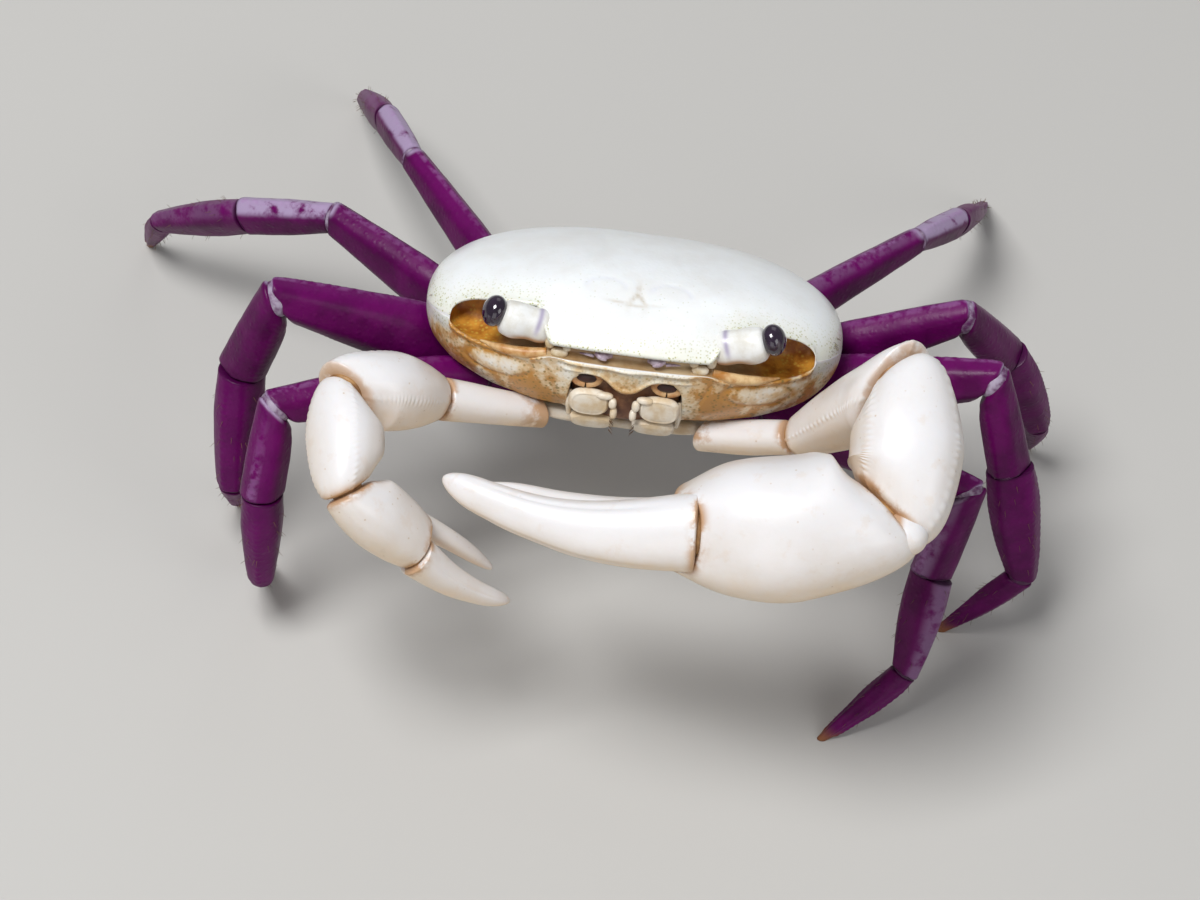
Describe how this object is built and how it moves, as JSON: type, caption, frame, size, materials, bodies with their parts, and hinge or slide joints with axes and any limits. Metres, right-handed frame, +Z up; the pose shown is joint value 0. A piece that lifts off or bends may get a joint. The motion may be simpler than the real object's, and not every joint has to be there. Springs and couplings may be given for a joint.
{
  "type": "freshwater crab, still model",
  "caption": "Life-size white-and-purple freshwater crab standing on its walking legs, one claw much larger than the other.",
  "frame": {"origin": "middle of the bounding box, on the floor", "axes": "+X to the crab's left, -Y the way it faces, +Z up"},
  "size_m": [0.063, 0.0536, 0.0299],
  "materials": {
    "carapace_white": "smooth shell, satin",
    "claw_ivory": "smooth shell, satin",
    "underside_cream": "thin shell, satin",
    "leg_purple": "finely granular shell, satin",
    "eye_black": "glossy, opaque"
  },
  "bodies": {
    "root": {"carapace": "carapace_white", "sternum": "underside_cream", "pleon": "underside_cream", "maxilliped_r": "underside_cream", "maxilliped_l": "underside_cream", "eyestalk_r": "carapace_white", "eyestalk_l": "carapace_white", "cornea_r": "eye_black", "cornea_l": "eye_black", "claw_r_base": "claw_ivory", "claw_r_merus": "claw_ivory", "claw_r_carpus": "claw_ivory", "claw_r_palm": "claw_ivory", "claw_r_finger": "claw_ivory", "claw_l_base": "claw_ivory", "claw_l_merus": "claw_ivory", "claw_l_carpus": "claw_ivory", "claw_l_palm": "claw_ivory", "claw_l_finger": "claw_ivory", "leg2_r_base": "leg_purple", "leg2_r_merus": "leg_purple", "leg2_r_carpus": "leg_purple", "leg2_r_propodus": "leg_purple", "leg2_r_dactylus": "leg_purple", "leg2_l_base": "leg_purple", "leg2_l_merus": "leg_purple", "leg2_l_carpus": "leg_purple", "leg2_l_propodus": "leg_purple", "leg2_l_dactylus": "leg_purple", "leg3_r_base": "leg_purple", "leg3_r_merus": "leg_purple", "leg3_r_carpus": "leg_purple", "leg3_r_propodus": "leg_purple", "leg3_r_dactylus": "leg_purple", "leg3_l_base": "leg_purple", "leg3_l_merus": "leg_purple", "leg3_l_carpus": "leg_purple", "leg3_l_propodus": "leg_purple", "leg3_l_dactylus": "leg_purple", "leg4_r_base": "leg_purple", "leg4_r_merus": "leg_purple", "leg4_r_carpus": "leg_purple", "leg4_r_propodus": "leg_purple", "leg4_r_dactylus": "leg_purple", "leg4_l_base": "leg_purple", "leg4_l_merus": "leg_purple", "leg4_l_carpus": "leg_purple", "leg4_l_propodus": "leg_purple", "leg4_l_dactylus": "leg_purple", "leg5_r_base": "leg_purple", "leg5_r_merus": "leg_purple", "leg5_r_carpus": "leg_purple", "leg5_r_propodus": "leg_purple", "leg5_r_dactylus": "leg_purple", "leg5_l_base": "leg_purple", "leg5_l_merus": "leg_purple", "leg5_l_carpus": "leg_purple", "leg5_l_propodus": "leg_purple", "leg5_l_dactylus": "leg_purple"}
  },
  "joints": []
}
